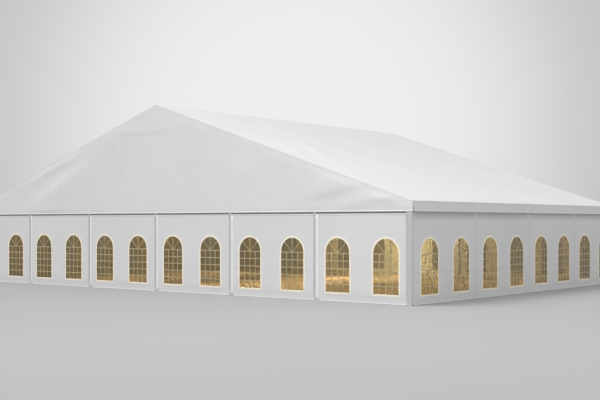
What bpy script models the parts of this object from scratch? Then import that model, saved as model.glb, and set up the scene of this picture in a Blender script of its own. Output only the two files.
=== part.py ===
"""Marquee tent: a clearspan frame tent, 30 m across its gables and 20 m long.

Units are metres, +Z is up and the origin is on the ground at the middle of the plan. The front
gable faces -Y, and the long sides face -X (left) and +X (right). Five portal frames stand 5 m apart.
Purlins and eave beams lie in notches on their rafters, and sheets of white PVC close the roof,
the gables and the walls between the posts.
"""

import math

import bmesh
import bpy

# Plan and section of the tent
SPAN = 30.0
BAY = 5.0
SIDE_BAYS = 4
GABLE_BAYS = 6
PITCH = math.radians(18.0)
EAVE_Z = 4.21
RIDGE_RADIUS = 0.5
RIDGE_STEPS = 3

# Gap between pieces that touch
GAP = 0.0003

# Sheets: closed solids, thicker than the real 0.7 mm cloth
SHEET = 0.004
FILM = 0.003

# How far the covers stand apart on a rafter, the panels lie behind the posts' faces, and the
# roof's edge and valance stand out from the legs
COVER_SPLIT = 0.03
PANEL_RECESS = 0.04
EAVE_REACH = 0.05

# Heights of the gable panels' top edge, and of the hem of the gable sheets and valances
GABLE_PANEL_TOP = 3.71
HEM_Z = 3.81

# Aluminium members of the portal frames
MEMBER_DEPTH = 0.26
MEMBER_WIDTH = 0.13

# Foot plates: how far they reach in from a post, stop short of its face, and pass its sides
PLATE_THICKNESS = 0.012
PLATE_REACH = 0.14
PLATE_BACK = 0.06
PLATE_SIDE = 0.15

# Gable frame: uprights, and the transom over the wall panels
UPRIGHT_WIDTH = 0.12
UPRIGHT_PLATE_SIDE = 0.14
TRANSOM_LOW = 3.72
TRANSOM_HIGH = 3.88
TRANSOM_RECESS = 0.06
TRANSOM_DEPTH = 0.06

# Bars along the tent
PURLIN_WIDTH = 0.07
PURLIN_HEIGHT = 0.11
PURLINS_PER_SLOPE = 3
RIDGE_BAR_HEIGHT = 0.14
EAVE_BEAM_SEAT = 0.12
EAVE_BEAM_LOW = 3.99

# Arched windows, two in each bay
WINDOW_WIDTH = 1.27
WINDOW_SILL = 0.40
WINDOW_SPRING = 2.05
WINDOW_SPREAD = 1.25
WINDOW_STEPS = 20
FILM_LAP = 0.04

# Floor of laid panels
DECK_THICKNESS = 0.03

# Worked out from the values above
HALF_SPAN = SPAN / 2
HALF_LENGTH = BAY * SIDE_BAYS / 2
SLOPE = math.tan(PITCH)
EAVE_X = HALF_SPAN + EAVE_REACH
APEX_Z = EAVE_Z + EAVE_X * SLOPE
SLOPE_LENGTH = HALF_SPAN / math.cos(PITCH)
UNDER_COVER = SHEET + GAP
RAFTER_UNDER = UNDER_COVER + MEMBER_DEPTH
END_FACE = HALF_LENGTH + MEMBER_WIDTH / 2
GABLE_FACE = END_FACE + GAP + SHEET
VALANCE_FACE = EAVE_X + GAP + SHEET
LEG_INNER = HALF_SPAN - MEMBER_DEPTH
SIDE_PANEL_X = HALF_SPAN - PANEL_RECESS
GABLE_PANEL_Y = END_FACE - PANEL_RECESS
PLATE_LIMIT = GABLE_PANEL_Y - SHEET - 2 * GAP
GABLE_FILM_Y = GABLE_PANEL_Y - SHEET - GAP
SIDE_FILM_X = SIDE_PANEL_X - SHEET - GAP
WINDOW_RADIUS = WINDOW_WIDTH / 2
FILM_LOW = WINDOW_SILL - FILM_LAP
FILM_HIGH = WINDOW_SPRING + WINDOW_RADIUS + FILM_LAP
FRAME_YS = [BAY * n - HALF_LENGTH for n in range(SIDE_BAYS + 1)]
UPRIGHT_XS = [BAY * n - HALF_SPAN for n in range(1, GABLE_BAYS)]
WINDOW_XS = [
    BAY * (n + 0.5) - HALF_SPAN + side * WINDOW_SPREAD for n in range(GABLE_BAYS) for side in (-1, 1)
]
WINDOW_YS = [
    BAY * (n + 0.5) - HALF_LENGTH + side * WINDOW_SPREAD for n in range(SIDE_BAYS) for side in (-1, 1)
]


def clear_scene():
    """Remove every object that the scene starts with."""
    for item in list(bpy.data.objects):
        bpy.data.objects.remove(item, do_unlink=True)


def material(name, colour, roughness, metallic=0.0, alpha=1.0):
    """Return a Principled material of one linear colour."""
    made = bpy.data.materials.new(name)
    made.use_nodes = True
    shader = made.node_tree.nodes["Principled BSDF"]
    shader.inputs["Base Color"].default_value = (*colour, 1.0)
    shader.inputs["Roughness"].default_value = roughness
    shader.inputs["Metallic"].default_value = metallic
    shader.inputs["Alpha"].default_value = alpha
    made.diffuse_color = (*colour, alpha)
    return made


def new_object(name, mesh_maker, finish):
    """Link one object whose mesh is filled by mesh_maker(bm)."""
    bm = bmesh.new()
    mesh_maker(bm)
    bmesh.ops.recalc_face_normals(bm, faces=bm.faces)
    mesh = bpy.data.meshes.new(name)
    bm.to_mesh(mesh)
    bm.free()
    made = bpy.data.objects.new(name, mesh)
    bpy.context.scene.collection.objects.link(made)
    if finish:
        mesh.materials.append(finish)
    return made


def add_prism(bm, outline, place, low, high):
    """Add one prism: a 2-D outline placed in space by place(point, t) at t = low and t = high."""
    start = [bm.verts.new(place(point, low)) for point in outline]
    end = [bm.verts.new(place(point, high)) for point in outline]
    bm.faces.new(start)
    bm.faces.new(reversed(end))
    for n in range(len(outline)):
        after = (n + 1) % len(outline)
        bm.faces.new((start[n], end[n], end[after], start[after]))


def along_y(point, t):
    """Place an (x, z) point of a cross-section at y = t."""
    return (point[0], t, point[1])


def along_x(point, t):
    """Place a (y, z) point of a side elevation at x = t."""
    return (t, point[0], point[1])


def add_box(bm, low, high):
    """Add a box from its lowest to its highest corner."""
    outline = [(low[0], low[2]), (high[0], low[2]), (high[0], high[2]), (low[0], high[2])]
    add_prism(bm, outline, along_y, low[1], high[1])


def prism(name, outline, place, low, high, finish):
    """Link one prism as an object."""
    return new_object(name, lambda bm: add_prism(bm, outline, place, low, high), finish)


def box(name, low, high, finish):
    """Link one box as an object."""
    return new_object(name, lambda bm: add_box(bm, low, high), finish)


def hide_as_tool(tool):
    """Mark an object that only shapes others."""
    tool.hide_render = True
    tool.display_type = "WIRE"
    return tool


def boolean(target, tool, operation):
    """Cut or join the target with a tool object."""
    change = target.modifiers.new(tool.name, "BOOLEAN")
    change.operation = operation
    change.object = tool
    change.solver = "EXACT"


def mirrored(points):
    """Return a half outline read from the ridge outwards as a whole one from left to right."""
    left = [(-x, z) for x, z in reversed(points) if x > 0]
    return left + points


def roof_line(depth, end_x):
    """Return the right half of the roof's line, from the ridge to end_x, depth under its surface.

    The two slopes run into an arc over the ridge.
    """
    radius = RIDGE_RADIUS - depth
    centre_z = APEX_Z - RIDGE_RADIUS / math.cos(PITCH)
    points = []
    for n in range(RIDGE_STEPS + 1):
        angle = PITCH * n / RIDGE_STEPS
        points.append((radius * math.sin(angle), centre_z + radius * math.cos(angle)))
    points.append((end_x, slope_z(end_x, depth)))
    return points


def slope_z(x, depth):
    """Return the height of a slope's plane, depth under the roof's surface."""
    return APEX_Z - abs(x) * SLOPE - depth / math.cos(PITCH)


def roof_z(x, depth):
    """Return the height of the roof's line with its rounded ridge."""
    points = roof_line(depth, HALF_SPAN)
    for (x0, z0), (x1, z1) in zip(points, points[1:]):
        if abs(x) <= x1:
            return z0 + (z1 - z0) * (abs(x) - x0) / (x1 - x0)
    return points[-1][1]


def on_slope(s, depth):
    """Return the (x, z) point at s down the right slope from the ridge line, at a depth under it."""
    return (
        s * math.cos(PITCH) - depth * math.sin(PITCH),
        APEX_Z - s * math.sin(PITCH) - depth * math.cos(PITCH),
    )


def purlin_places():
    """Return how far down the slope from the ridge line each purlin lies."""
    return [SLOPE_LENGTH * n / (PURLINS_PER_SLOPE + 1) for n in range(1, PURLINS_PER_SLOPE + 1)]


def frame_outline():
    """Return the outline of a portal frame: two legs and two rafters, notched for the bars."""
    ridge_x = PURLIN_WIDTH / 2 + GAP
    ridge_floor = roof_z(0, UNDER_COVER) - RIDGE_BAR_HEIGHT - GAP
    top = [(ridge_x, ridge_floor), (ridge_x, roof_z(ridge_x, UNDER_COVER))]
    top += roof_line(UNDER_COVER, HALF_SPAN)[1:-1]
    for s in purlin_places():
        near = s - PURLIN_WIDTH / 2 - GAP
        far = s + PURLIN_WIDTH / 2 + GAP
        floor = UNDER_COVER + PURLIN_HEIGHT + GAP
        top += [on_slope(near, UNDER_COVER), on_slope(near, floor)]
        top += [on_slope(far, floor), on_slope(far, UNDER_COVER)]
    shoulder = HALF_SPAN - EAVE_BEAM_SEAT - GAP
    top += [
        (shoulder, slope_z(shoulder, UNDER_COVER)),
        (shoulder, EAVE_BEAM_LOW - GAP),
        (HALF_SPAN, EAVE_BEAM_LOW - GAP),
        (HALF_SPAN, 0.0),
        (LEG_INNER, 0.0),
        (LEG_INNER, slope_z(LEG_INNER, RAFTER_UNDER)),
    ]
    under_ridge = (0.0, slope_z(0.0, RAFTER_UNDER))
    return mirrored(top) + [under_ridge]


def portal_frames(finish):
    """Make the five portal frames, each with the foot plates of its legs.

    The side walls' film runs through a slot in each leg between the corners.
    """
    outline = frame_outline()

    def slots(bm):
        for side in (-1, 1):
            low_x, high_x = sorted((side * (SIDE_FILM_X + GAP), side * (SIDE_FILM_X - FILM - GAP)))
            low = (low_x, -HALF_LENGTH, FILM_LOW - GAP)
            add_box(bm, low, (high_x, HALF_LENGTH, FILM_HIGH + GAP))

    slot = hide_as_tool(new_object("side_film_slots", slots, None))
    for n, y in enumerate(FRAME_YS, start=1):
        front = max(y - PLATE_SIDE, -PLATE_LIMIT)
        back = min(y + PLATE_SIDE, PLATE_LIMIT)

        def plates(bm):
            for side in (-1, 1):
                inner = side * (LEG_INNER - PLATE_REACH)
                outer = side * (HALF_SPAN - PLATE_BACK)
                low_x, high_x = sorted((inner, outer))
                add_box(bm, (low_x, front, 0.0), (high_x, back, PLATE_THICKNESS))

        frame = prism(
            f"portal_frame_{n}", outline, along_y, y - MEMBER_WIDTH / 2, y + MEMBER_WIDTH / 2, finish
        )
        boolean(frame, hide_as_tool(new_object(f"foot_plates_{n}", plates, None)), "UNION")
        if 1 < n < len(FRAME_YS):
            boolean(frame, slot, "DIFFERENCE")


def gable_frame(name, side, finish):
    """Make a gable's uprights and transom as one frame, slotted for the gable's film."""
    face = side * END_FACE
    back = side * (END_FACE - MEMBER_WIDTH)
    half = UPRIGHT_WIDTH / 2

    def uprights(bm):
        for x in UPRIGHT_XS:
            head = [(x + half, slope_z(x + half, RAFTER_UNDER) - GAP)]
            if x == 0:
                head.append((0.0, slope_z(0.0, RAFTER_UNDER) - GAP))
            head.append((x - half, slope_z(x - half, RAFTER_UNDER) - GAP))
            outline = [(x - half, 0.0), (x + half, 0.0), *head]
            add_prism(bm, outline, along_y, *sorted((face, back)))

    def plates(bm):
        outer = side * PLATE_LIMIT
        inner = side * (END_FACE - MEMBER_WIDTH - PLATE_REACH)
        low_y, high_y = sorted((outer, inner))
        for x in UPRIGHT_XS:
            add_box(
                bm,
                (x - UPRIGHT_PLATE_SIDE, low_y, 0.0),
                (x + UPRIGHT_PLATE_SIDE, high_y, PLATE_THICKNESS),
            )

    rail_face = side * (END_FACE - TRANSOM_RECESS)
    rail_back = side * (END_FACE - TRANSOM_RECESS - TRANSOM_DEPTH)
    low_y, high_y = sorted((rail_face, rail_back))
    end = LEG_INNER - GAP
    frame = box(name, (-end, low_y, TRANSOM_LOW), (end, high_y, TRANSOM_HIGH), finish)
    boolean(frame, hide_as_tool(new_object(f"{name}_uprights", uprights, None)), "UNION")
    boolean(frame, hide_as_tool(new_object(f"{name}_plates", plates, None)), "UNION")
    low_y, high_y = sorted((side * (GABLE_FILM_Y + GAP), side * (GABLE_FILM_Y - FILM - GAP)))
    low = (-LEG_INNER, low_y, FILM_LOW - GAP)
    slot = box(f"{name}_film_slot", low, (LEG_INNER, high_y, FILM_HIGH + GAP), None)
    boolean(frame, hide_as_tool(slot), "DIFFERENCE")


def long_bars(finish):
    """Make the ridge purlin, the roof purlins and the eave beams, each from end to end."""
    end = END_FACE - GAP
    half = PURLIN_WIDTH / 2
    crown_z = roof_z(0, UNDER_COVER)
    shoulder_z = roof_z(half, UNDER_COVER)
    outline = [
        (-half, crown_z - RIDGE_BAR_HEIGHT),
        (half, crown_z - RIDGE_BAR_HEIGHT),
        (half, shoulder_z),
        (0.0, crown_z),
        (-half, shoulder_z),
    ]
    prism("ridge_purlin", outline, along_y, -end, end, finish)
    beam_inner = HALF_SPAN - EAVE_BEAM_SEAT
    beam = [
        (beam_inner, EAVE_BEAM_LOW),
        (EAVE_X, EAVE_BEAM_LOW),
        (EAVE_X, slope_z(EAVE_X, UNDER_COVER)),
        (beam_inner, slope_z(beam_inner, UNDER_COVER)),
    ]
    for side, hand in ((-1, "left"), (1, "right")):
        section = [(side * x, z) for x, z in beam]
        prism(f"{hand}_eave_beam", section, along_y, -end, end, finish)
        for n, s in enumerate(purlin_places(), start=1):
            corners = [
                on_slope(s - half, UNDER_COVER),
                on_slope(s + half, UNDER_COVER),
                on_slope(s + half, UNDER_COVER + PURLIN_HEIGHT),
                on_slope(s - half, UNDER_COVER + PURLIN_HEIGHT),
            ]
            section = [(side * x, z) for x, z in corners]
            prism(f"{hand}_purlin_{n}", section, along_y, -end, end, finish)


def arch(centre):
    """Return the outline of one arched window around its centre line."""
    outline = [(centre - WINDOW_RADIUS, WINDOW_SILL), (centre + WINDOW_RADIUS, WINDOW_SILL)]
    for n in range(WINDOW_STEPS + 1):
        angle = math.pi * n / WINDOW_STEPS
        outline.append(
            (centre + WINDOW_RADIUS * math.cos(angle), WINDOW_SPRING + WINDOW_RADIUS * math.sin(angle))
        )
    return outline


def window_cutter(name, centres, place, reach):
    """Make the prisms that cut a row of windows through two opposite walls."""

    def arches(bm):
        for centre in centres:
            add_prism(bm, arch(centre), place, -reach, reach)

    return hide_as_tool(new_object(name, arches, None))


def bay_edges(start, count, first_clear, post_clear):
    """Return the two ends of each panel between the posts of a wall."""
    edges = []
    for n in range(count):
        low = start + BAY * n + (first_clear if n == 0 else post_clear) + GAP
        high = start + BAY * (n + 1) - (first_clear if n == count - 1 else post_clear) - GAP
        edges.append((low, high))
    return edges


def wall_panels(finish):
    """Make one sheet for each bay of each wall, with its two windows cut through it."""
    reach = HALF_SPAN + MEMBER_DEPTH
    gable_cutter = window_cutter("gable_windows", WINDOW_XS, along_y, reach)
    side_cutter = window_cutter("side_windows", WINDOW_YS, along_x, reach)
    gable_edges = bay_edges(-HALF_SPAN, GABLE_BAYS, MEMBER_DEPTH, UPRIGHT_WIDTH / 2)
    side_edges = bay_edges(-HALF_LENGTH, SIDE_BAYS, MEMBER_WIDTH / 2, MEMBER_WIDTH / 2)
    for side, hand in ((-1, "front"), (1, "back")):
        low_y, high_y = sorted((side * GABLE_PANEL_Y, side * (GABLE_PANEL_Y - SHEET)))
        for n, (low, high) in enumerate(gable_edges, start=1):
            panel = box(f"{hand}_wall_{n}", (low, low_y, 0.0), (high, high_y, GABLE_PANEL_TOP), finish)
            boolean(panel, gable_cutter, "DIFFERENCE")
    for side, hand in ((-1, "left"), (1, "right")):
        low_x, high_x = sorted((side * SIDE_PANEL_X, side * (SIDE_PANEL_X - SHEET)))
        for n, (low, high) in enumerate(side_edges, start=1):
            panel = box(f"{hand}_wall_{n}", (low_x, low, 0.0), (high_x, high, EAVE_BEAM_LOW - GAP), finish)
            boolean(panel, side_cutter, "DIFFERENCE")


def window_sheets(finish):
    """Make one flat sheet of clear film behind the panels of each wall."""
    end_x = LEG_INNER - GAP
    end_y = HALF_LENGTH - MEMBER_WIDTH / 2 - GAP
    for side, hand in ((-1, "front"), (1, "back")):
        low_y, high_y = sorted((side * GABLE_FILM_Y, side * (GABLE_FILM_Y - FILM)))
        box(f"{hand}_window_sheet", (-end_x, low_y, FILM_LOW), (end_x, high_y, FILM_HIGH), finish)
    for side, hand in ((-1, "left"), (1, "right")):
        low_x, high_x = sorted((side * SIDE_FILM_X, side * (SIDE_FILM_X - FILM)))
        box(f"{hand}_window_sheet", (low_x, -end_y, FILM_LOW), (high_x, end_y, FILM_HIGH), finish)


def gable_sheets(finish):
    """Make the sheet that closes each gable from over the wall panels to the ridge."""
    top = mirrored(roof_line(UNDER_COVER, EAVE_X))
    outline = [*top, (EAVE_X, HEM_Z), (-EAVE_X, HEM_Z)]
    for side, hand in ((-1, "front"), (1, "back")):
        low, high = sorted((side * GABLE_FACE, side * (GABLE_FACE - SHEET)))
        prism(f"{hand}_gable_sheet", outline, along_y, low, high, finish)


def roof_covers(finish):
    """Make one cover for each bay, from eave to eave over the ridge."""
    outline = mirrored(roof_line(0.0, VALANCE_FACE))
    outline += list(reversed(mirrored(roof_line(SHEET, VALANCE_FACE))))
    for n in range(1, SIDE_BAYS + 1):
        front = -GABLE_FACE if n == 1 else FRAME_YS[n - 1] + COVER_SPLIT / 2
        back = GABLE_FACE if n == SIDE_BAYS else FRAME_YS[n] - COVER_SPLIT / 2
        prism(f"roof_cover_{n}", outline, along_y, front, back, finish)


def valances(finish):
    """Make the valance that hangs from each eave beam, outside the legs."""
    for side, hand in ((-1, "left"), (1, "right")):
        outer = side * VALANCE_FACE
        inner = side * (VALANCE_FACE - SHEET)
        outline = [
            (outer, HEM_Z),
            (inner, HEM_Z),
            (inner, slope_z(inner, UNDER_COVER)),
            (outer, slope_z(outer, UNDER_COVER)),
        ]
        prism(f"{hand}_valance", outline, along_y, -GABLE_FACE, GABLE_FACE, finish)


def floor_deck(finish):
    """Make the deck between the walls, cut out round the foot plates."""
    edge_x = SIDE_PANEL_X - SHEET - GAP
    edge_y = GABLE_PANEL_Y - SHEET - GAP
    deck = box("floor_deck", (-edge_x, -edge_y, 0.0), (edge_x, edge_y, DECK_THICKNESS), finish)
    below = -DECK_THICKNESS
    above = 2 * DECK_THICKNESS

    def notches(bm):
        for side in (-1, 1):
            for y in FRAME_YS:
                low_x, high_x = sorted((side * (LEG_INNER - PLATE_REACH - GAP), side * SPAN))
                reach = PLATE_SIDE + GAP
                add_box(bm, (low_x, y - reach, below), (high_x, y + reach, above))
            for x in UPRIGHT_XS:
                inner = END_FACE - MEMBER_WIDTH - PLATE_REACH - GAP
                low_y, high_y = sorted((side * inner, side * SPAN))
                reach = UPRIGHT_PLATE_SIDE + GAP
                add_box(bm, (x - reach, low_y, below), (x + reach, high_y, above))

    boolean(deck, hide_as_tool(new_object("deck_notches", notches, None)), "DIFFERENCE")


def main():
    """Build the tent."""
    clear_scene()
    aluminium = material("anodised_aluminium", (0.55, 0.56, 0.57), 0.38, metallic=1.0)
    white_pvc = material("white_pvc_sheet", (0.78, 0.79, 0.80), 0.45)
    clear_pvc = material("clear_pvc_film", (0.62, 0.50, 0.30), 0.10, alpha=0.45)
    plywood = material("pale_plywood", (0.58, 0.46, 0.30), 0.60)
    portal_frames(aluminium)
    gable_frame("front_gable_frame", -1, aluminium)
    gable_frame("back_gable_frame", 1, aluminium)
    long_bars(aluminium)
    wall_panels(white_pvc)
    window_sheets(clear_pvc)
    gable_sheets(white_pvc)
    roof_covers(white_pvc)
    valances(white_pvc)
    floor_deck(plywood)


main()
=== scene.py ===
# %% [markdown]
# # A clearspan marquee tent
# The real tent is a row of aluminium portal frames with white PVC-coated cloth pulled tight between
# them. The cloth's edges hold a rope bead (a keder) that slides into grooves in the frames.
#
# The frames, bars and deck come ready made and fixed. This lesson dresses them: it replaces the plain
# sheets by stretched cloth with hems, welds and soft creases, adds the windows' films, bars and trims,
# the rails, bolts and bracing, and gives every surface a finish.

# %% Load the frame
import math
import random

import bmesh
import bpy
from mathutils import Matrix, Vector


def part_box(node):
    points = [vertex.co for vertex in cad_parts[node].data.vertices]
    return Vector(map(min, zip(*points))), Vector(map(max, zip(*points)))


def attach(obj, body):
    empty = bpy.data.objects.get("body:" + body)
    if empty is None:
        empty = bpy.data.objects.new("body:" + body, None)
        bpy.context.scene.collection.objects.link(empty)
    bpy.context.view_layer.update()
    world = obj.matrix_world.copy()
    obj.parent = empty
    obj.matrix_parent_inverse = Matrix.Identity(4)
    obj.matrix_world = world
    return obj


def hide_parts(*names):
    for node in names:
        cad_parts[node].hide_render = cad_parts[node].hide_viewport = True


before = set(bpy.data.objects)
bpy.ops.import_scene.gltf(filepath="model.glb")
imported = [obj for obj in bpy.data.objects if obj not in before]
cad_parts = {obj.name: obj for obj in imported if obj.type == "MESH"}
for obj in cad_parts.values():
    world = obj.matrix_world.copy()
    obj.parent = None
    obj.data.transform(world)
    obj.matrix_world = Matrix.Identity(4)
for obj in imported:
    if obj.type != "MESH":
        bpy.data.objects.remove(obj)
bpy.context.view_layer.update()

# %% [markdown]
# ## Sizes from the frame
# Nothing is measured twice: where a piece of the frame already says where something is, its box is read.
# Only the pitch, the ridge's radius and two small gaps are given again. The windows' form is measured on
# the openings in one wall panel of the frame.

# %% Read the frame's sizes
GABLES = ("front", "back")
SIDES = ("left", "right")
PITCH = math.radians(18.0)
RIDGE_RADIUS = 0.5
SHEET_GAP = 0.0003
HEM_DROP = 0.02
PURLINS = (1, 2, 3)

gable_face = -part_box("front_gable_sheet")[0].y
leg_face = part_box("portal_frame_3")[1].x
eave_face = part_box("right_valance")[1].x
hem_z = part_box("right_valance")[0].z - HEM_DROP
ridge_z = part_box("roof_cover_2")[1].z
wall_plane = {
    "front": -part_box("front_wall_2")[0].y,
    "back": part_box("back_wall_2")[1].y,
    "left": -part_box("left_wall_2")[0].x,
    "right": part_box("right_wall_2")[1].x,
}
wall_bays = {"front": 6, "back": 6, "left": 4, "right": 4}
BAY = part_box("right_wall_2")[0].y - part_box("right_wall_1")[0].y
half_length = BAY * wall_bays["right"] / 2
half_span = BAY * wall_bays["front"] / 2
frame_ys = [BAY * n - half_length for n in range(wall_bays["right"] + 1)]
half_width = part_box("right_wall_2")[0].y - frame_ys[1] - SHEET_GAP
upright_xs = [BAY * n - half_span for n in range(1, wall_bays["front"])]
cover_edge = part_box("roof_cover_2")[1].x
slope_start = RIDGE_RADIUS * PITCH
slope_end = slope_start + (cover_edge - RIDGE_RADIUS * math.sin(PITCH)) / math.cos(PITCH)
print("bay", round(BAY, 3), "eave face", round(eave_face, 3), "slope", round(slope_end, 3))

# %% Measure the windows in a wall panel of the frame
low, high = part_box("front_wall_3")
rim = [v.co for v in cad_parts["front_wall_3"].data.vertices if low.z < v.co.z < high.z]
window_sill = min(p.z for p in rim)
window_crown = max(p.z for p in rim)
mid_bay = (low.x + high.x) / 2
window_inner = min(p.x - mid_bay for p in rim if p.x > mid_bay)
window_outer = max(p.x - mid_bay for p in rim)
window_radius = (window_outer - window_inner) / 2
window_offset = (window_outer + window_inner) / 2
window_spring = window_crown - window_radius
print("window", round(2 * window_radius, 3), "wide, sill", round(window_sill, 3))
print("spring line", round(window_spring, 3), "crown", round(window_crown, 3))

# %% [markdown]
# ## Small tools
# Every mesh below is one of three kinds: a grid that follows a formula, a bar with a drawn section, or
# a round rod. Each gets one helper. Every finished piece rides on the tent's one body.

# %% Link a mesh as a piece
def link_piece(name, bm, finish, smooth=True):
    """Turn a bmesh into a piece that rides on the tent."""
    mesh = bpy.data.meshes.new(name)
    bm.to_mesh(mesh)
    bm.free()
    if smooth:
        mesh.shade_smooth()
    mesh.materials.append(finish)
    piece = bpy.data.objects.new(name, mesh)
    bpy.context.scene.collection.objects.link(piece)
    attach(piece, "root")
    return piece


def link_solid(name, bm, finish, smooth=True):
    """Turn the faces of closed solids outwards, and link them as one piece."""
    bmesh.ops.recalc_face_normals(bm, faces=bm.faces)
    return link_piece(name, bm, finish, smooth)


# %% Grids, and the thickness of cloth
CLOTH = 0.0009


def make_grid(rows, columns, place, keep=lambda row, column: True, flip=False):
    """Return a grid of quads through place(row, column), without the cells that keep() refuses."""
    bm = bmesh.new()
    points = [[bm.verts.new(place(r, c)) for c in range(columns)] for r in range(rows)]
    for r in range(rows - 1):
        for c in range(columns - 1):
            if keep(r, c):
                corners = [points[r][c], points[r][c + 1], points[r + 1][c + 1], points[r + 1][c]]
                bm.faces.new(reversed(corners) if flip else corners)
    loose = [v for v in bm.verts if not v.link_faces]
    bmesh.ops.delete(bm, geom=loose, context="VERTS")
    return bm


def link_cloth(name, bm, finish, back=None, thickness=CLOTH):
    """Link a single surface, with the thickness of real cloth behind its face and a back of its own.

    The narrow edge faces would darken the smooth shading beside them, so normals follow the big faces.
    """
    piece = link_piece(name, bm, finish)
    solid = piece.modifiers.new("cloth thickness", "SOLIDIFY")
    solid.thickness = thickness
    solid.offset = -1.0
    if back:
        piece.data.materials.append(back)
        solid.material_offset = 1
    normals = piece.modifiers.new("even normals", "WEIGHTED_NORMAL")
    normals.weight = 100
    return piece


print("cloth", CLOTH * 1000, "mm thick")


# %% Bars, rods and even steps
def add_bar(bm, stations, closed=False):
    """Add a bar through a list of cross-sections, each a list of points in the same order.

    A closed one has no ends: its last section joins its first.
    """
    rings = [[bm.verts.new(p) for p in section] for section in stations]
    count = len(rings[0])
    for near, far in zip(rings, rings[1:] + rings[:1] if closed else rings[1:]):
        for n in range(count):
            after = (n + 1) % count
            bm.faces.new((near[n], near[after], far[after], far[n]))
    if not closed:
        bm.faces.new(reversed(rings[0]))
        bm.faces.new(rings[-1])


def add_rod(bm, start, end, radius, sides=8):
    """Add a round rod from start to end."""
    start, end = Vector(start), Vector(end)
    along = (end - start).normalized()
    across = along.orthogonal().normalized()
    other = along.cross(across)
    turns = [2 * math.pi * n / sides for n in range(sides)]
    ring = [across * math.cos(a) * radius + other * math.sin(a) * radius for a in turns]
    add_bar(bm, [[start + p for p in ring], [end + p for p in ring]])


def between(low, high, count):
    """Return count + 1 even steps from low to high."""
    return [low + (high - low) * n / count for n in range(count + 1)]


print("sill to spring line:", [round(z, 2) for z in between(window_sill, window_spring, 5)])

# %% [markdown]
# ## How tight cloth moves
# Coated cloth on a frame is nearly flat, but never quite: it ripples by a few millimetres and creases
# run from its corners, where the pull is strongest. A cloth simulation could give that, but a sheet this
# tight hardly moves, and where it folds would be left to chance. Noise would look like fur at this size.
# So the ripple is a sum of long sine waves in mixed directions, and each crease is a soft ridge along a
# line that is chosen.

# %% Ripples and creases
def ripple(seed, height, shortest, longest, waves=7):
    """Return a function of two lengths: soft waves of that height and those wavelengths, in metres."""
    draw = random.Random(seed)
    terms = []
    for _ in range(waves):
        length = draw.uniform(shortest, longest)
        turn = draw.uniform(0, math.pi)
        swing = 2 * math.pi / length
        terms.append((swing * math.cos(turn), swing * math.sin(turn), draw.uniform(0, 2 * math.pi)))

    def at(a, b):
        return height / waves * 2 * sum(math.sin(p * a + q * b + phase) for p, q, phase in terms)

    return at


def crease(a, b, start, end, right, left, height):
    """Return how far the cloth stands out at (a, b) from a crease that runs from start to end.

    Its widths to the right and the left of that run differ, as one side of a fold is the steeper.
    """
    run = (end[0] - start[0], end[1] - start[1])
    long = math.hypot(*run)
    t = ((a - start[0]) * run[0] + (b - start[1]) * run[1]) / long**2
    off = ((a - start[0]) * run[1] - (b - start[1]) * run[0]) / long
    if not 0 < t < 1:
        return 0.0
    width = right if off > 0 else left
    return height * math.sin(math.pi * t) ** 2 * math.exp(-((off / width) ** 2))


sample = ripple("sample", 0.005, 0.9, 3.2)
print("5 mm ripple over 3 m, in mm:", [round(1000 * sample(a, 0.0), 1) for a in between(0.0, 3.0, 6)])

# %% Edges and hems
def rise(distance, over):
    """Return 0 at an edge and 1 from that distance on, with no kink at either end."""
    t = min(max(distance / over, 0.0), 1.0)
    return t * t * (3 - 2 * t)


def hem_roll(distance, radius):
    """Return how far a hem's rope pocket stands out at a distance from the cloth's edge."""
    off = distance - radius
    return math.sqrt(max(radius**2 - off**2, 0.0))


print("rise in four steps:", [rise(d, 1.0) for d in between(0.0, 1.0, 4)])

# %% [markdown]
# ## Finishes
# Each finish is built from nodes, so that it has no picture to stretch or lose. Colours are given as
# sRGB hex values, as a paint chart has them, and one function turns them to the linear values that
# Blender mixes light with. Texture space is the object's own, in metres, so a pattern's scale is real.

# %% Colour and node helpers
def linear(hex_colour):
    """Turn an sRGB hex colour to linear red, green, blue and alpha."""
    parts = [int(hex_colour[n : n + 2], 16) / 255 for n in (0, 2, 4)]
    return tuple(c / 12.92 if c <= 0.04045 else ((c + 0.055) / 1.055) ** 2.4 for c in parts) + (1.0,)


def set_inputs(tree, node, values):
    """Set a node's inputs, and link those that are given another node's output."""
    for key, value in dict(values).items():
        if isinstance(value, bpy.types.NodeSocket):
            tree.links.new(value, node.inputs[key])
        else:
            node.inputs[key].default_value = value


def add_node(tree, kind, values=(), out=None, **settings):
    """Add a node and return its output: the named one, or the first that its settings leave in use.

    A map range's inputs go by number: the value, from low, from high, to low and to high.
    """
    node = tree.nodes.new("ShaderNode" + kind)
    for name, value in settings.items():
        setattr(node, name, value)
    set_inputs(tree, node, values)
    return node.outputs[out] if out else next(socket for socket in node.outputs if socket.enabled)


def new_finish(name):
    """Return a new material, its node tree, its shader and the output that gives a point's place."""
    finish = bpy.data.materials.new(name)
    finish.use_nodes = True
    tree = finish.node_tree
    return finish, tree, tree.nodes["Principled BSDF"], add_node(tree, "TexCoord", out="Object")


print("a white of E0E0DF is linear", [round(c, 3) for c in linear("E0E0DF")])

# %% [markdown]
# ### PVC-coated polyester cloth
# The sheets are woven polyester, knife-coated with white PVC and lacquered on the outside. It reads as
# a bright satin white. The weave shows through the coating as a fine grid, with rain streaks and dust
# as a faint drift of tone. The rolls are 2.5 m wide, so a lapped weld runs along each join. Its band is
# drawn a little greyer than the cloth: painted shade along the seam's lip. A wall needs one weld, low down.
#
# The real weave has about nine threads a centimetre. That is far too fine to show, so it is drawn ten
# times as coarse and very shallow. A wave texture could draw the threads one by one, but it would
# flicker at this distance, so a fine noise stands for them.

# %% White cloth
THREAD = 0.011
WELD_WIDTH = 0.035
WELD_FADE = 0.004
ROLL_WIDTH = 2.5
WALL_WELD_Z = 1.28
COAT_BUMP = {"Strength": 0.25, "Distance": 0.0012}


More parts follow.
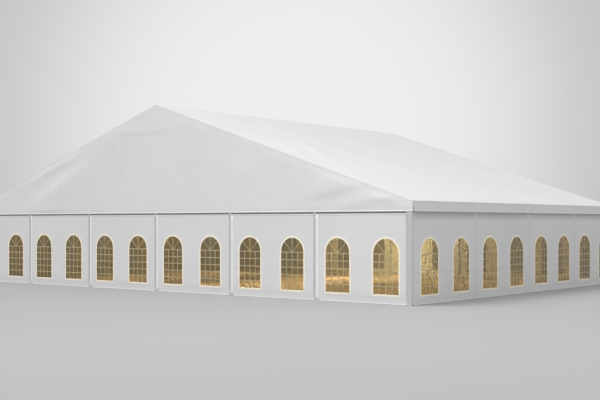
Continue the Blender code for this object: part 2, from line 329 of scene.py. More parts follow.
def coated_cloth(name, light, dark, weld_axis, weld_at, repeat, weld_shade_and_lift):
    """Make the white cloth, with welds across one axis at weld_at and every repeat metres from it."""
    finish, tree, shader, place = new_finish(name)
    # The tone drifts over 3 m or so. Streaks are a third of a metre apart, and eight times as tall.
    drift = add_node(tree, "TexNoise", {"Vector": place, "Scale": 0.35, "Detail": 3.0, "Roughness": 0.5})
    tall = add_node(tree, "Mapping", {"Vector": place, "Scale": (1.0, 1.0, 0.12)})
    streaks = add_node(tree, "TexNoise", {"Vector": tall, "Scale": 3.0, "Detail": 4.0, "Roughness": 0.6})
    clean = add_node(tree, "Mix", {"Factor": drift, "A": linear(dark), "B": linear(light)}, data_type="RGBA")
    dust = add_node(tree, "MapRange", {0: streaks, 1: 0.45, 2: 0.75, 3: 0.0, 4: 0.1})
    dusty = add_node(tree, "Mix", {"Factor": dust, "A": clean, "B": linear("C9C9C5")}, data_type="RGBA")
    # The distance from the nearest weld, then a band that fades at its edges.
    along = add_node(tree, "SeparateXYZ", {0: place}, weld_axis)
    shifted = add_node(tree, "Math", {0: along, 1: weld_at}, operation="SUBTRACT")
    off = add_node(tree, "Math", {0: shifted, 1: repeat / 2}, operation="PINGPONG")
    band = {0: off, 1: WELD_WIDTH / 2, 2: WELD_WIDTH / 2 + WELD_FADE, 3: weld_shade_and_lift, 4: 0.0}
    weld = add_node(tree, "MapRange", band)
    # The weld band's grey, C4C5C7, is painted shade along the seam's lip. The weld itself is real and also
    # lifts the bump.
    colour = add_node(tree, "Mix", {"Factor": weld, "A": dusty, "B": linear("C4C5C7")}, data_type="RGBA")
    weave = add_node(tree, "TexNoise", {"Vector": place, "Scale": 1 / THREAD, "Detail": 2.0})
    height = add_node(tree, "Math", {0: weave, 1: 0.08, 2: weld}, operation="MULTIPLY_ADD")
    bump = add_node(tree, "Bump", COAT_BUMP | {"Height": height})
    gloss = add_node(tree, "MapRange", {0: streaks, 3: 0.46, 4: 0.6})
    set_inputs(tree, shader, {"Base Color": colour, "Roughness": gloss, "Normal": bump, "IOR": 1.5})
    return finish


# Each look's last number is how strongly its welds' painted shade and their lift show.
wall_cloth, gable_cloth, roof_cloth = (
    coated_cloth("white PVC cloth " + where, *look)
    for where, *look in (
        ("walls", "E0E0DF", "D7D8D9", "Z", WALL_WELD_Z, 4 * ROLL_WIDTH, 0.35),
        ("gables", "E4E4E3", "DCDDDE", "X", 0.0, ROLL_WIDTH, 0.04),
        ("roof", "E3E3E2", "DBDCDD", "Y", ROLL_WIDTH, 2 * ROLL_WIDTH, 0.05),
    )
)
print("weld band", WELD_WIDTH * 1000, "mm on rolls of", ROLL_WIDTH, "m")

# %% [markdown]
# ### The cloth's back, and other plain coats
# The back isn't lacquered. It has a matt ivory coat, which warms the light in the hall. Like the tapes,
# the rubber and the floor below, it is one colour whose tone drifts a little, with or without a fine
# grain, so one helper makes them all and each keeps its own numbers.

# %% The cloth's back
def toned_finish(name, light, dark, scale, detail, roughness, ior=1.5, grain=None):
    """Make a finish that drifts between two tones, scale times a metre, with a fine grain if given."""
    finish, tree, shader, place = new_finish(name)
    tone = add_node(tree, "TexNoise", {"Vector": place, "Scale": scale, "Detail": detail})
    colour = add_node(tree, "Mix", {"Factor": tone, "A": linear(dark), "B": linear(light)}, data_type="RGBA")
    set_inputs(tree, shader, {"Base Color": colour, "Roughness": roughness, "IOR": ior})
    if grain:
        weave = add_node(tree, "TexNoise", {"Vector": place, "Scale": 1 / THREAD})
        set_inputs(tree, shader, {"Normal": add_node(tree, "Bump", grain | {"Height": weave})})
    return finish


lining = toned_finish(
    "ivory PVC cloth back", "CFC5A5", "C4B995", scale=0.6, detail=3.0, roughness=0.75, grain=COAT_BUMP
)
print("made", lining.name)

# %% [markdown]
# ### Window film and its welded tapes
# The panes are plasticised clear PVC, with a haze that the daylight catches. A glass shader could bend
# the light through them, but a film this thin bends nothing. So part of it is left out with alpha, and
# what shows is the lit hall behind. The rest is drawn a dark amber: partly the film's slight yellowing,
# and partly painted light, the warm glow of the hall behind it. The glazing bars and the trim round each
# opening are cream PVC tape, calendered to a soft gloss and welded on.

# %% Clear film
PVC_IOR = 1.53


def clear_film():
    """Make the film, whose haze drifts over half a metre or so."""
    finish, tree, shader, place = new_finish("clear PVC film, painted warm glow")
    haze = add_node(tree, "TexNoise", {"Vector": place, "Scale": 1.7, "Detail": 3.0})
    # These dark amber tones are partly the film's own yellowing and partly painted light: the warm glow of
    # the hall.
    tones = {"Factor": haze, "A": linear("7A6B47"), "B": linear("82734F")}
    colour = add_node(tree, "Mix", tones, data_type="RGBA")
    cover = add_node(tree, "MapRange", {0: haze, 3: 0.48, 4: 0.58})
    set_inputs(tree, shader, {"Base Color": colour, "Alpha": cover, "Roughness": 0.12, "IOR": PVC_IOR})
    return finish


film = clear_film()
print("made", film.name)

# %% Tapes for bars, trims and hems
TAPE_GRAIN = {"Strength": 0.2, "Distance": 0.0005}
TAPE_LOOK = {"scale": 6.0, "detail": 3.0, "roughness": 0.35, "ior": PVC_IOR, "grain": TAPE_GRAIN}
# The hem's white, brighter than the cloth, is a painted highlight of the leading edge catching the light.
trim_tape, bar_tape, highlight_hem_tape = (
    toned_finish(name, light, dark, **TAPE_LOOK)
    for name, light, dark in (
        ("cream PVC trim", "FDF6E6", "FAF0DA"),
        ("cream PVC glazing bars", "C2B48E", "B8A983"),
        ("white PVC keder hem, painted highlight", "EEEEED", "E8E8E7"),
    )
)
print("tapes:", trim_tape.name, bar_tape.name, highlight_hem_tape.name)

# %% [markdown]
# ### Metal and rubber
# The members are extruded aluminium, anodised to a satin grey. Extruding leaves faint lines along the
# length, so the noise is stretched along the member. A metal needs no IOR: its colour is its mirror.
# The small parts are galvanised steel, whose zinc sets in crystals a centimetre or two across. The
# seals between them are extruded grey rubber, matt, with a dusty bloom that scatters light. Their grey
# is partly painted shadow, which darkens the slot under the gable sheet beyond its real shade.

# %% Anodised aluminium
def anodised_aluminium(name, stretch):
    """Make satin aluminium, with extrusion lines along the axis that has the small stretch.

    Real lines are under 1 mm apart. They are drawn 17 mm apart, so that they show.
    """
    finish, tree, shader, place = new_finish(name)
    space = add_node(tree, "Mapping", {"Vector": place, "Scale": stretch})
    lines = add_node(tree, "TexNoise", {"Vector": space, "Scale": 60.0, "Detail": 3.0})
    tones = {"Factor": lines, "A": linear("D6D7D7"), "B": linear("E0E1E1")}
    colour = add_node(tree, "Mix", tones, data_type="RGBA")
    rough = add_node(tree, "MapRange", {0: lines, 3: 0.42, 4: 0.55})
    bump = add_node(tree, "Bump", {"Strength": 0.15, "Distance": 0.0004, "Height": lines})
    set_inputs(tree, shader, {"Base Color": colour, "Roughness": rough, "Normal": bump, "Metallic": 1.0})
    return finish


upright_metal = anodised_aluminium("anodised aluminium upright", (1.0, 1.0, 0.03))
long_metal = anodised_aluminium("anodised aluminium lengthways", (1.0, 0.03, 1.0))
print("made", upright_metal.name, "and", long_metal.name)

# %% Galvanised steel and rubber
CRYSTALS_PER_METRE = 70.0


def galvanised_steel():
    """Make zinc-coated steel, where every crystal has its own grey."""
    finish, tree, shader, place = new_finish("galvanised steel")
    spangle = add_node(tree, "TexVoronoi", {"Vector": place, "Scale": CRYSTALS_PER_METRE}, "Color")
    tones = {"Factor": spangle, "A": linear("8C9092"), "B": linear("AFB3B5")}
    colour = add_node(tree, "Mix", tones, data_type="RGBA")
    set_inputs(tree, shader, {"Base Color": colour, "Roughness": 0.48, "Metallic": 1.0})
    return finish


steel = galvanised_steel()
# The rubber's grey is partly painted shadow for the slot under the gable sheet, on top of the real shade
# there.
rubber = toned_finish("extruded EPDM rubber, painted slot shadow", "A4A5A6", "979899", scale=4.0, detail=4.0, roughness=0.7)
print("made", steel.name, "and", rubber.name, "with crystals of", round(1000 / CRYSTALS_PER_METRE), "mm")

# %% [markdown]
# ### Plywood deck
# The floor is laid from sealed plywood panels of 2.44 by 1.22 m. The grain runs along each panel, each
# panel has its own tone, and the joints show as thin dark lines. Every panel could be a mesh of its own,
# but only its glow shows through the windows, so a brick pattern, whose rows are set off by half a
# panel, gives the panels and stretched noise the grain.

# %% Plywood
PANEL_LENGTH = 2.44
PANEL_WIDTH = 1.22
PANEL_JOINT = 0.006


def sealed_plywood():
    """Make the deck's finish. Its grain is drawn 22 mm wide, coarser than the real one, so it shows."""
    finish, tree, shader, place = new_finish("sealed plywood")
    layout = {"Vector": place, "Scale": 1.0, "Brick Width": PANEL_LENGTH, "Row Height": PANEL_WIDTH}
    layout |= {"Color1": linear("DCC28E"), "Color2": linear("D0B482")}
    layout |= {"Mortar": linear("6E5A3C"), "Mortar Size": PANEL_JOINT}
    panels = add_node(tree, "TexBrick", layout, offset=0.5)
    space = add_node(tree, "Mapping", {"Vector": place, "Scale": (0.08, 1.0, 1.0)})
    grain = add_node(tree, "TexNoise", {"Vector": space, "Scale": 45.0, "Detail": 5.0})
    dark = add_node(tree, "MapRange", {0: grain, 1: 0.4, 2: 0.8, 3: 0.0, 4: 0.3})
    colour = add_node(tree, "Mix", {"Factor": dark, "A": panels, "B": linear("A98A56")}, data_type="RGBA")
    bump = add_node(tree, "Bump", {"Strength": 0.3, "Distance": 0.001, "Height": grain})
    set_inputs(tree, shader, {"Base Color": colour, "Roughness": 0.5, "Normal": bump, "IOR": 1.5})
    return finish


plywood = sealed_plywood()
print("deck panels of", PANEL_LENGTH, "by", PANEL_WIDTH, "m")

# %% [markdown]
# ## Finishes on the frame
# The frame's own pieces keep their shape and get the finishes. Extrusion lines must run along each
# member, so the frames take the upright metal and the bars from gable to gable the lengthways one.

# %% Dress the frame's nodes
finish_of = {"floor_deck": plywood, "ridge_purlin": long_metal}
finish_of |= {f"portal_frame_{n}": upright_metal for n in range(1, len(frame_ys) + 1)}
finish_of |= {f"{hand}_gable_frame": upright_metal for hand in GABLES}
for hand in SIDES:
    finish_of[f"{hand}_eave_beam"] = long_metal
    finish_of |= {f"{hand}_purlin_{n}": long_metal for n in PURLINS}
for node_name, finish in finish_of.items():
    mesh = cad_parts[node_name].data
    mesh.materials.clear()
    mesh.materials.append(finish)
print("dressed", len(finish_of), "pieces of the frame")

# %% [markdown]
# ## Wall panels
# Each bay has one panel of cloth. The bead that holds it is sewn to its back, 4 cm from the edge, so a
# narrow flap of the cloth laps over the rail and the post's edge. Behind the leading edge, where the
# cloth springs forward and catches the light, a doubled hem is drawn whiter than the cloth: a painted
# highlight, which makes a bright strip beside every post of the gables. A rope pocket makes a round hem
# at the top and at the ground. The side panels lean back at the top, to hang from the eave beam behind
# the valance, which throws its shadow on them.
#
# A boolean could cut the windows, but it leaves long thin faces that show as creases. So the panel is a
# grid whose columns and rows are placed one by one where the form needs them: close together at the
# edges, and on the arch's own points over each window. Cells inside a window are left out, and the rest
# bends smoothly with the cloth.

# %% Where a wall's points are
def wall_point(hand, along, out, z):
    """Return the point along a wall, out from its plane and z up."""
    plane = wall_plane[hand] + out
    if hand == "front":
        return Vector((along, -plane, z))
    if hand == "back":
        return Vector((along, plane, z))
    return Vector((plane if hand == "right" else -plane, along, z))


def wall_span(hand, n):
    """Return where a bay's sheet starts and ends along its wall, and its top."""
    low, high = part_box(f"{hand}_wall_{n}")
    start, end = (low.x, high.x) if hand in GABLES else (low.y, high.y)
    return start, end, high.z


def window_centres(hand, n):
    """Return the centre lines of a panel's two windows along its wall."""
    bay_middle = BAY * (n - 0.5) - (half_span if hand in GABLES else half_length)
    return [bay_middle - window_offset, bay_middle + window_offset]


print("front bay 3: start, end and top", [round(v, 3) for v in wall_span("front", 3)])

# %% The shape of one panel
FLAP = 0.022
EDGE_ROLL = 0.14
GROUND_HEM = 0.018
TOP_HEM = 0.018
LEADING_EDGE = 0.23
TRAILING_EDGE = 0.06
TRAILING_SHARE = 0.2
EDGE_OUT = 0.0413
WALL_RIPPLE = (0.0035, 0.7, 2.4)
# How far from the sides and the ground the cloth is held too tight to ripple.
SIDE_HELD = 0.4
GROUND_HELD = 0.5
# A crease from each top corner: the least and the most that it reaches, drops and stands out.
CORNER_DROP = 0.05
FOLD_REACH = (0.7, 1.3)
FOLD_FALL = (0.5, 0.9)
FOLD_HEIGHT = (0.004, 0.008)
FOLD_WIDTH = 0.16
BELLY = 0.006
forward = {"front": 0.029, "back": 0.029, "left": 0.01, "right": 0.01}
head_roll = {"front": 0.03, "back": 0.03, "left": 0.1, "right": 0.1}
head_lean = {"front": 0.0, "back": 0.0, "left": 0.115, "right": 0.115}
LEAN_BELOW_TOP = 0.75
LEAN_OVER = 0.5
LEAN_SIDE = 0.2


def panel_shape(hand, n):
    """Return one panel's ends, its top and the function that says how far its cloth stands out."""
    start, end, top = wall_span(hand, n)
    start -= FLAP
    end += FLAP
    waves = ripple(f"{hand} {n}", *WALL_RIPPLE)
    draw = random.Random(f"creases {hand} {n}")
    folds = []
    corner_z = top - CORNER_DROP
    for corner, inwards in ((start, 1), (end, -1)):
        foot_a = corner + inwards * draw.uniform(*FOLD_REACH)
        foot_z = corner_z - draw.uniform(*FOLD_FALL)
        height = draw.uniform(*FOLD_HEIGHT)
        folds.append(((corner, corner_z), (foot_a, foot_z), FOLD_WIDTH, FOLD_WIDTH, height))

    def out(a, z):
        side = min(a - start, end - a)
        if hand in SIDES:
            edge = rise(side, EDGE_ROLL)
        else:
            lead, trail = (a - start, end - a) if hand == "front" else (end - a, a - start)
            edge = 1 - max(1 - lead / LEADING_EDGE, 0.0) ** 2
            edge *= TRAILING_SHARE + (1 - TRAILING_SHARE) * rise(trail, TRAILING_EDGE)
        held = edge * rise(top - z, head_roll[hand])
        belly = math.sin(math.pi * (a - start) / (end - start)) * math.sin(math.pi * z / top)
        held *= rise(z, GROUND_HELD)
        soft = rise(side, SIDE_HELD) * waves(a, z) + sum(crease(a, z, *fold) for fold in folds)
        far = held * (forward[hand] + BELLY * belly + soft)
        lean = head_lean[hand] * rise(side, LEAN_SIDE) * rise(z - top + LEAN_BELOW_TOP, LEAN_OVER)
        hems = hem_roll(z, GROUND_HEM) + hem_roll(top - z, TOP_HEM)
        return EDGE_OUT + far - lean + hems

    return start, end, top, out


start, end, top, out = panel_shape("front", 3)
print("the middle of front bay 3 stands out", round(1000 * out(mid_bay, top / 2)), "mm")

# %% A panel's columns
EDGE_STEPS = (0.0, 0.009, 0.018, 0.027, 0.036, 0.048, 0.06, 0.085, 0.11, 0.15)
ARCH_COLUMNS = 24
FIELD_COLUMNS = 6


def panel_columns(start, end, centres):
    """Return the columns as (place along the wall, the window it crosses or None)."""
    columns = [(start + d, None) for d in EDGE_STEPS]
    edges = [start + EDGE_STEPS[-1]]
    for centre in centres:
        edges += [centre - window_radius, centre + window_radius]
    edges.append(end - EDGE_STEPS[-1])
    for n, (a, b) in enumerate(zip(edges, edges[1:])):
        if n % 2:
            centre = (a + b) / 2
            turns = between(math.pi, 0.0, ARCH_COLUMNS)
            columns += [(centre + window_radius * math.cos(t), centre) for t in turns]
        else:
            columns += [(x, None) for x in between(a, b, FIELD_COLUMNS)[1:-1]]
    columns += [(end - d, None) for d in reversed(EDGE_STEPS)]
    return columns


print("columns in a panel:", len(panel_columns(start, end, window_centres("front", 3))))

# %% Make the wall panels
LOW_STEPS = (0.0, 0.004, 0.009, 0.014, 0.019, 0.024, 0.028, 0.04, 0.08, 0.15, 0.23, 0.31)
TOP_STEPS = (0.4, 0.28, 0.2, 0.15, 0.1, 0.06, 0.035, 0.028, 0.024, 0.02, 0.016, 0.012, 0.008, 0.004, 0.0)
MID_ROWS = 12
ARCH_ROWS = 7
HEAD_ROWS = 5
HEAD_CLEAR = 0.25


def make_wall_panel(hand, n):
    """Make one panel of a wall, with its two arched openings."""
    start, end, top, out = panel_shape(hand, n)
    columns = panel_columns(start, end, window_centres(hand, n))
    head = window_crown + HEAD_CLEAR
    low_rows = [*LOW_STEPS, window_sill]
    mid_rows = between(window_sill, window_spring, MID_ROWS)[1:]
    rows = [("level", z) for z in low_rows + mid_rows]
    rows += [("arch", t) for t in between(0.0, 1.0, ARCH_ROWS)[1:]]
    rows += [("level", z) for z in between(head, top - TOP_STEPS[0], HEAD_ROWS)[1:-1]]
    rows += [("level", top - d) for d in TOP_STEPS]
    sill_row = len(low_rows) - 1
    spring_row = sill_row + MID_ROWS

    def height(r, c):
        a, centre = columns[c]
        kind, value = rows[r]
        foot = window_spring
        if centre is not None:
            foot += math.sqrt(max(window_radius**2 - (a - centre) ** 2, 0.0))
        if kind == "arch":
            return foot + (head - foot) * value
        return foot if r == spring_row else value

    def place(r, c):
        z = height(r, c)
        a = columns[c][0]
        return wall_point(hand, a, out(a, z), z)

    def keep(r, c):
        in_window = columns[c][1] is not None and columns[c + 1][1] == columns[c][1]
        return not (in_window and sill_row <= r < spring_row)

    grid = make_grid(len(rows), len(columns), place, keep, flip=hand in ("back", "left"))
    panel = link_cloth(f"{hand}_wall_panel_{n}", grid, wall_cloth, lining)
    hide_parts(f"{hand}_wall_{n}")
    return panel


panels = [make_wall_panel(hand, n) for hand, count in wall_bays.items() for n in range(1, count + 1)]
print(len(panels), "wall panels,", len(panels[0].data.polygons), "faces each before thickening")

# %% [markdown]
# ## Windows
# Behind each opening a clear film is welded to the panel. Tapes on its face make the glazing bars: three
# uprights, five cross bars and a fan of three over the spring line. A wider tape covers the weld round
# the opening. Bevelled curves could make them, but they would lie flat while the cloth bulges. So films
# and tapes ask the panel's own formula how far out they are, and nothing floats or cuts through it.

# %% Films
FILM = 0.0008
FILM_LAP = 0.03
FILM_BEHIND = 0.0016
FILM_RIPPLE = (0.00036, 0.25, 0.9)
FILM_COLUMNS = 20
FILM_ROWS = 24


def make_film(hand, n, which, centre, out):
    """Make the clear film of one window."""
    radius = window_radius + FILM_LAP
    sill = window_sill - FILM_LAP
    turns = between(math.pi, 0.0, FILM_COLUMNS)
    waves = ripple(f"film {hand} {n} {which}", *FILM_RIPPLE)

    def place(r, c):
        a = centre + radius * math.cos(turns[c])
        top = window_spring + radius * math.sin(turns[c])
        z = sill + (top - sill) * r / FILM_ROWS
        return wall_point(hand, a, out(a, z) - FILM_BEHIND + waves(a, z), z)

    grid = make_grid(FILM_ROWS + 1, len(turns), place, flip=hand in ("back", "left"))
    name = f"{hand}_window_film_{n}_{which}"
    piece = link_cloth(name, grid, film, thickness=FILM)
    return piece


print("a film laps", FILM_LAP * 1000, "mm behind its opening")

# %% Tapes that follow the panel
TAPE_PROFILE = ((-1, 0.0), (-0.9, 1.0), (0, 1.25), (0.9, 1.0), (1, 0.0))


def add_tape(bm, hand, out, path, width, height, closed=False):
    """Lay a tape along a path of (along, z) points, following the panel's bulge."""
    sections = []
    count = len(path)
    for n, (a, z) in enumerate(path):
        before = path[(n - 1) % count] if closed or n else path[n]
        after = path[(n + 1) % count] if closed or n < count - 1 else path[n]
        run = Vector((after[0] - before[0], after[1] - before[1])).normalized()
        side = Vector((-run.y, run.x)) * width / 2
        section = []
        for share, lift in TAPE_PROFILE:
            pa = a + side.x * share
            pz = z + side.y * share
            section.append(wall_point(hand, pa, out(pa, pz) + lift * height, pz))
        sections.append(section)
    add_bar(bm, sections, closed)


def arc_path(centre, radius, turns):
    """Return points round the middle of a window's spring line."""
    return [(centre + radius * math.cos(t), window_spring + radius * math.sin(t)) for t in turns]


def window_outline(centre, grow):
    """Return the closed outline of a window, grown outwards, with points close together."""
    radius = window_radius + grow
    sill = window_sill - grow
    right = [(centre + radius, z) for z in between(sill, window_spring, 10)]
    arch = arc_path(centre, radius, between(0.0, math.pi, 30)[1:-1])
    left = [(centre - radius, z) for z in between(window_spring, sill, 10)]
    bottom = [(a, sill) for a in between(centre - radius, centre + radius, 8)[1:-1]]
    return right + arch + left + bottom


print("a trim's path has", len(window_outline(0.0, 0.0)), "points")

# %% Glazing bars
BAR_WIDTH = 0.034
FAN_WIDTH = 0.8 * BAR_WIDTH
CROSS_BARS = 5
HUB_RADIUS = 0.055
BAR_GAP_ROWS = (window_spring - window_sill) / CROSS_BARS
# Bars that cross have different heights, so that no two faces lie in one plane.
UPRIGHT_HEIGHT = 0.0012
MIDDLE_HEIGHT = 0.0014
CROSS_HEIGHT = 0.0018
FAN_HEIGHT = 0.001
HUB_HEIGHT = 0.0024


def add_glazing(bm, hand, centre, out):
    """Add the bars of one window."""
    for share in (-0.5, 0.5):
        a = centre + share * window_radius
        upright = [(a, z) for z in between(window_sill, window_spring, 8)]
        add_tape(bm, hand, out, upright, BAR_WIDTH, UPRIGHT_HEIGHT)
    middle = [(centre, z) for z in between(window_sill, window_crown, 12)]
    add_tape(bm, hand, out, middle, BAR_WIDTH, MIDDLE_HEIGHT)
    for n in range(1, CROSS_BARS + 1):
        z = window_sill + BAR_GAP_ROWS * n
        cross = [(a, z) for a in between(centre - window_radius, centre + window_radius, 8)]
        add_tape(bm, hand, out, cross, BAR_WIDTH, CROSS_HEIGHT)
    for turn in (math.pi / 4, 3 * math.pi / 4):
        reach = between(0.0, window_radius, 5)
        fan = [(centre + d * math.cos(turn), window_spring + d * math.sin(turn)) for d in reach]
        add_tape(bm, hand, out, fan, FAN_WIDTH, FAN_HEIGHT)
    hub = arc_path(centre, HUB_RADIUS / 2, between(0.0, math.pi, 8))
    add_tape(bm, hand, out, hub, HUB_RADIUS, HUB_HEIGHT)


print("cross bars every", round(1000 * BAR_GAP_ROWS), "mm")

# %% Hems along the leading edges
HEM_WIDTH = 0.17
HEM_ENDS = (0.03, 0.035)
HEM_FACE = 0.0016
HEM_BACK = -0.0004
HEM_STEPS = between(0.002, HEM_WIDTH - 0.003, 6)
HEM_SECTION = [(step, HEM_FACE) for step in HEM_STEPS] + [(HEM_WIDTH, HEM_BACK)]
HEM_SECTION += [(step, HEM_BACK) for step in reversed(HEM_STEPS[:-1])]


def add_edge_hem(hand, n, edge, turn, top, out):
    """Weld a doubled hem along a panel's leading edge, drawn whiter than the cloth as a painted highlight.
    """
    places = [(edge + turn * step, lift) for step, lift in HEM_SECTION]
    levels = between(HEM_ENDS[0], top - HEM_ENDS[1], 24)
    bm = bmesh.new()
    add_bar(bm, [[wall_point(hand, a, out(a, z) + lift, z) for a, lift in places] for z in levels])
    link_solid(f"{hand}_painted_highlight_hem_{n}", bm, highlight_hem_tape)


print("leading hems", HEM_WIDTH * 1000, "mm wide")

# %% Make every window
BAR_SEAT = 0.0012
TRIM_WIDTH = 0.086
TRIM_HEIGHT = 0.0022
TRIM_LAP = 0.004
films = []
for hand, count in wall_bays.items():
    for n in range(1, count + 1):
        start, end, top, out = panel_shape(hand, n)
        bars = bmesh.new()
        trims = bmesh.new()
        for which, centre in enumerate(window_centres(hand, n), start=1):
            films.append(make_film(hand, n, which, centre, out))
            add_glazing(bars, hand, centre, lambda a, z: out(a, z) - BAR_SEAT)
            outline = window_outline(centre, TRIM_WIDTH / 2 - TRIM_LAP)
            add_tape(trims, hand, out, outline, TRIM_WIDTH, TRIM_HEIGHT, closed=True)
        if hand in GABLES:
            edge, turn = (start, 1) if hand == "front" else (end, -1)
            add_edge_hem(hand, n, edge, turn, top, out)
        link_solid(f"{hand}_glazing_bars_{n}", bars, bar_tape)
        link_solid(f"{hand}_window_trims_{n}", trims, trim_tape)
for hand in wall_bays:
    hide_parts(f"{hand}_window_sheet")
print(len(films), "films with bars and trims")

# %% [markdown]
# ## Gable sheets
# One sheet closes the triangle over the walls. It is cut in two halves, welded at the middle, because
# no cloth is handled 30 m wide in one flat piece. Its lower hem has a rope in it and hangs over the
# slot above the wall panels. The wind's push and the corners' pull leave it softly creased, with the
# deepest folds running up beside the eaves. Every fold stands outwards, as the frame is right behind.
#
# A triangle could be filled and subdivided, but its faces would run anyhow across the folds. Columns
# that each run from the hem to the roof's line keep the grid even and end on the slope.

# %% The roof's line
centre_z = ridge_z - RIDGE_RADIUS


def roof_point(s, y, lift=0.0):
    """Return the point s along the roof from the ridge (left is negative), lifted off its surface."""
    turn = min(abs(s) / RIDGE_RADIUS, PITCH)
    run = max(abs(s) - slope_start, 0.0)
    x = (RIDGE_RADIUS + lift) * math.sin(turn) + run * math.cos(PITCH)
    z = centre_z + (RIDGE_RADIUS + lift) * math.cos(turn) - run * math.sin(PITCH)
    return Vector((math.copysign(x, s), y, z))


def roof_height(x, depth):
    """Return the height of the roof's line at x, depth under its surface."""
    arc_end = (RIDGE_RADIUS - depth) * math.sin(PITCH)
    if abs(x) <= arc_end:
        return centre_z + math.sqrt((RIDGE_RADIUS - depth) ** 2 - x * x)
    return centre_z + (RIDGE_RADIUS - depth) * math.cos(PITCH) - (abs(x) - arc_end) * math.tan(PITCH)


print("roof at the ridge", round(roof_height(0.0, 0.0), 3), "and 10 m out", round(roof_height(10.0, 0.0), 3))

# %% Make the gable sheets
UNDER_COVER = 0.0043
EAVE_ROPE = 0.02
GABLE_HEM = 0.023
GABLE_STAND = 0.01
# How far from the roof's line, the hem and the eave the cloth is held.
GABLE_TOP_HELD = 0.4
GABLE_HEM_HELD = 0.25
GABLE_EAVE_HELD = 0.4
ROPE_SHARES = (1.5, 1.0, 0.5, 0.2, 0.0)
ABOVE_HEM = [0.07, 0.12]
GABLE_COLUMNS = 120
GABLE_ROWS = 48
GABLE_RIPPLE = (0.008, 1.1, 4.0)
GABLE_FINE_RIPPLE = (0.0022, 0.35, 0.9)
# Each fold: from and to (x, z), as seen from outside, its widths to the right and left, and its height.
GABLE_FOLDS = (
    ((-11.2, 5.3), (-4.6, 7.35), 0.26, 0.3, 0.036),
    ((-11.2, 3.6), (-3.4, 7.0), 1.0, 0.38, 0.07),
    ((-9.4, 4.5), (-5.4, 5.2), 0.16, 0.3, 0.008),
    ((-4.4, 7.84), (2.6, 7.8), 0.11, 0.4, 0.018),
    ((8.2, 4.22), (13.8, 5.36), 0.28, 0.8, 0.052),
    ((10.9, 4.1), (15.0, 4.5), 0.26, 0.34, 0.036),
    ((12.6, 4.24), (15.4, 4.68), 0.15, 0.3, 0.026),
    ((2.0, 6.4), (8.0, 5.3), 0.5, 0.5, 0.012),
)


def make_gable_half(hand, half):
    """Make one half of a gable's sheet."""
    front = hand == "front"
    right = half == "right"
    waves = ripple(f"gable {hand}", *GABLE_RIPPLE)
    small = ripple(f"gable fine {hand}", *GABLE_FINE_RIPPLE)
    outside = 1 if front else -1
    rope_steps = [cover_edge - EAVE_ROPE * share for share in ROPE_SHARES]
    columns = between(0.0, cover_edge - 2 * EAVE_ROPE, GABLE_COLUMNS) + rope_steps
    hem_rows = between(0.0, 2 * GABLE_HEM, 8) + ABOVE_HEM
    field_rows = between(0.0, 1.0, GABLE_ROWS)[1:]

    def place(r, c):
        x = columns[c]
        top = roof_height(x, UNDER_COVER) + hem_roll(cover_edge - x, EAVE_ROPE)
        if r < len(hem_rows):
            z = hem_z + hem_rows[r]
        else:
            foot = hem_z + hem_rows[-1]
            z = foot + (top - foot) * field_rows[r - len(hem_rows)]
        held = rise(top - z, GABLE_TOP_HELD) * rise(z - hem_z, GABLE_HEM_HELD)
        held *= rise(cover_edge - x, GABLE_EAVE_HELD)
        shown = x if right else -x
        soft = waves(shown, z) + small(shown, z)
        soft += sum(crease(shown * outside, z, *fold) for fold in GABLE_FOLDS)
        y = gable_face + ((GABLE_STAND + soft) * held + hem_roll(z - hem_z, GABLE_HEM))
        return Vector((shown, -y if front else y, z))

    grid = make_grid(len(hem_rows) + len(field_rows), len(columns), place, flip=front != right)
    piece = link_cloth(f"{hand}_gable_half_{half}", grid, gable_cloth, lining)
    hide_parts(f"{hand}_gable_sheet")
    pairs = zip(columns, columns[1:])
    area = sum((roof_height((a + b) / 2, UNDER_COVER) - hem_z) * (b - a) for a, b in pairs)
    return piece


gables = [make_gable_half(hand, half) for hand in GABLES for half in SIDES]
print("gable halves", [p.name for p in gables])

# %% [markdown]
# ## Roof covers
# Each bay's cover runs from eave to eave over the ridge. It lies on the purlins, sags a little between
# them, and creases run slantwise down it to the corner where it was pulled tight last. Its side edges
# dip into the grooves on top of the rafters, and a rope in its end makes a round edge along the eave.
# It could be one strip bent over the ridge, but each side of the ridge is its own piece here, 15.8 m
# long: each slope then has folds of its own, and none has to cross the ridge.

# %% A cover's folds
# Each fold: from and to (along the slope, along the bay), its widths to the right and left, its height.
ROOF_FOLDS = (
    ((5.8, 2.1), (10.9, 0.2), 0.13, 0.4, 0.034),
    ((5.7, 4.5), (11.3, 0.9), 0.12, 0.4, 0.034),
    ((7.6, 4.2), (12.8, 0.2), 0.11, 0.35, 0.028),
    ((4.6, 4.9), (9.4, 2.4), 0.12, 0.4, 0.026),
    ((1.2, 3.6), (5.6, 1.8), 0.2, 0.5, 0.016),
)


def cover_folds(n, hand, low_y, high_y):
    """Return one cover's folds: moved, and on the covers farther off also turned and softened."""
    draw = random.Random(f"roof folds {n} {hand}")
    near = hand == "right" and n < 3
    turned = not near and draw.random() < 0.5
    wander = 0.5 if near else 1.6
    folds = []
    for (s0, y0), (s1, y1), right, left, height in ROOF_FOLDS:
        move = 0.0 if near and n == 1 else draw.uniform(-wander, wander)
        start = (s0 + move, low_y + y0 + 0.3 * move)
        end = (s1 + move, low_y + y1 + 0.3 * move)
        if turned:
            start = (start[0], low_y + high_y - start[1])
            end = (end[0], low_y + high_y - end[1])
            right, left = left, right
        folds.append((start, end, right, left, height * draw.uniform(0.6 if near else 0.1, 1.1)))
    return folds


highest = max(fold[-1] for fold in cover_folds(1, "right", frame_ys[0], frame_ys[1]))
print("the first cover's highest fold:", round(1000 * highest), "mm")

